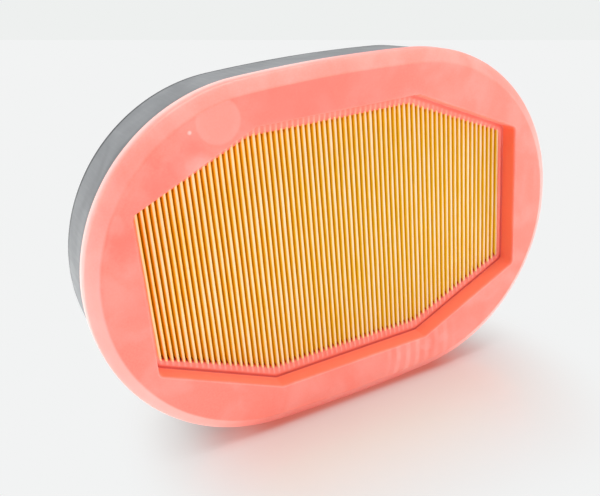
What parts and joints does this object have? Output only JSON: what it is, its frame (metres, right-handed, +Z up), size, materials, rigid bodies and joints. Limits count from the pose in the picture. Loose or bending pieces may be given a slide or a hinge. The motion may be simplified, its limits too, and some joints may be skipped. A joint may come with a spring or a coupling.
{
  "type": "oval panel air filter",
  "caption": "Oval air filter element: soft bevelled foam seal frame with an octagonal window over upright pleated paper, in a shallow rigid shell.",
  "frame": {"origin": "on the ground, under the middle of the filter as it stands on its long flank", "axes": "+X along the filter's length, -Y out of the front face, +Z up across its height"},
  "size_m": [0.298, 0.055, 0.205],
  "materials": {
    "seal_foam": "matte",
    "shell_plastic": "satin",
    "filter_paper": "matte",
    "side_strip_fleece": "matte",
    "potting": "matte",
    "hot_melt": "satin"
  },
  "bodies": {
    "root": {"seal_frame": "seal_foam", "outer_shell": "shell_plastic", "pleated_media": "filter_paper", "upper_side_strip": "side_strip_fleece", "lower_side_strip": "side_strip_fleece", "rear_potting_bead": "potting", "spacer_beads": "hot_melt"}
  },
  "joints": []
}
